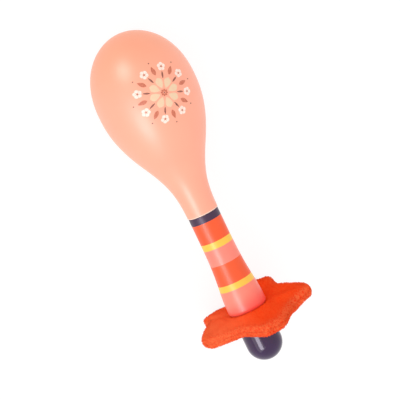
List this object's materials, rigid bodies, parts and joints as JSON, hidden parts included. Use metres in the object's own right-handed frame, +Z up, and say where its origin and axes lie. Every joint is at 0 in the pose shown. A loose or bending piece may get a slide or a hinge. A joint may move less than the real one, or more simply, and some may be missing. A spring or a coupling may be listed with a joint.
{
  "type": "maraca",
  "caption": "Turned wooden toy maraca lying on its side: hollow egg-shaped head, striped handle, padded petal collar and round end knob.",
  "frame": {"origin": "centre of the bounding box at its base, on the surface the maraca lies on", "axes": "the turned axis lies along X with the head towards -X and the knob towards +X; +Z is up, with one collar petal pointing straight up"},
  "size_m": [0.1992, 0.0642, 0.062],
  "materials": {
    "paint_peach": "satin peach lacquer over turned wood",
    "paint_stripes": "satin red-orange, pink, yellow and navy lacquer bands over turned wood",
    "paint_navy": "glossy dark aubergine-navy lacquer over turned wood",
    "bare_wood": "bare beech",
    "terry_cloth": "orange-red terry cloth",
    "wadding_fleece": "soft undyed wadding"
  },
  "bodies": {
    "maraca": {"head_dome": "paint_peach", "head_bowl": "paint_peach", "handle": "paint_stripes", "peg": "bare_wood", "knob": "paint_navy"},
    "collar": {"collar_top_cloth": "terry_cloth", "collar_wadding": "wadding_fleece", "collar_bottom_cloth": "terry_cloth"},
    "pellet_01_body": {"pellet_01": "bare_wood"},
    "pellet_02_body": {"pellet_02": "bare_wood"},
    "pellet_03_body": {"pellet_03": "bare_wood"},
    "pellet_04_body": {"pellet_04": "bare_wood"},
    "pellet_05_body": {"pellet_05": "bare_wood"},
    "pellet_06_body": {"pellet_06": "bare_wood"},
    "pellet_07_body": {"pellet_07": "bare_wood"},
    "pellet_08_body": {"pellet_08": "bare_wood"},
    "pellet_09_body": {"pellet_09": "bare_wood"},
    "pellet_10_body": {"pellet_10": "bare_wood"},
    "pellet_11_body": {"pellet_11": "bare_wood"},
    "pellet_12_body": {"pellet_12": "bare_wood"},
    "pellet_13_body": {"pellet_13": "bare_wood"},
    "pellet_14_body": {"pellet_14": "bare_wood"}
  },
  "joints": [
    {"name": "collar_turn", "type": "hinge", "parent": "maraca", "child": "collar", "pos_m": [0.0723, 0, 0.02882], "axis": [1, 0, 0], "continuous": true},
    {"name": "pellet_01_slide", "type": "slide", "parent": "maraca", "child": "pellet_01_body", "axis": [0, 0, 1], "range_m": [0, 0.0407]},
    {"name": "pellet_02_slide", "type": "slide", "parent": "maraca", "child": "pellet_02_body", "axis": [0, 0, 1], "range_m": [0, 0.0418]},
    {"name": "pellet_03_slide", "type": "slide", "parent": "maraca", "child": "pellet_03_body", "axis": [0, 0, 1], "range_m": [0, 0.0416]},
    {"name": "pellet_04_slide", "type": "slide", "parent": "maraca", "child": "pellet_04_body", "axis": [0, 0, 1], "range_m": [0, 0.0395]},
    {"name": "pellet_05_slide", "type": "slide", "parent": "maraca", "child": "pellet_05_body", "axis": [0, 0, 1], "range_m": [0, 0.0372]},
    {"name": "pellet_06_slide", "type": "slide", "parent": "maraca", "child": "pellet_06_body", "axis": [0, 0, 1], "range_m": [0, 0.0391]},
    {"name": "pellet_07_slide", "type": "slide", "parent": "maraca", "child": "pellet_07_body", "axis": [0, 0, 1], "range_m": [0, 0.0396]},
    {"name": "pellet_08_slide", "type": "slide", "parent": "maraca", "child": "pellet_08_body", "axis": [0, 0, 1], "range_m": [0, 0.0385]},
    {"name": "pellet_09_slide", "type": "slide", "parent": "maraca", "child": "pellet_09_body", "axis": [0, 0, 1], "range_m": [0, 0.0348]},
    {"name": "pellet_10_slide", "type": "slide", "parent": "maraca", "child": "pellet_10_body", "axis": [0, 0, 1], "range_m": [0, 0.0372]},
    {"name": "pellet_11_slide", "type": "slide", "parent": "maraca", "child": "pellet_11_body", "axis": [0, 0, 1], "range_m": [0, 0.0391]},
    {"name": "pellet_12_slide", "type": "slide", "parent": "maraca", "child": "pellet_12_body", "axis": [0, 0, 1], "range_m": [0, 0.0396]},
    {"name": "pellet_13_slide", "type": "slide", "parent": "maraca", "child": "pellet_13_body", "axis": [0, 0, 1], "range_m": [0, 0.0385]},
    {"name": "pellet_14_slide", "type": "slide", "parent": "maraca", "child": "pellet_14_body", "axis": [0, 0, 1], "range_m": [0, 0.0348]}
  ]
}
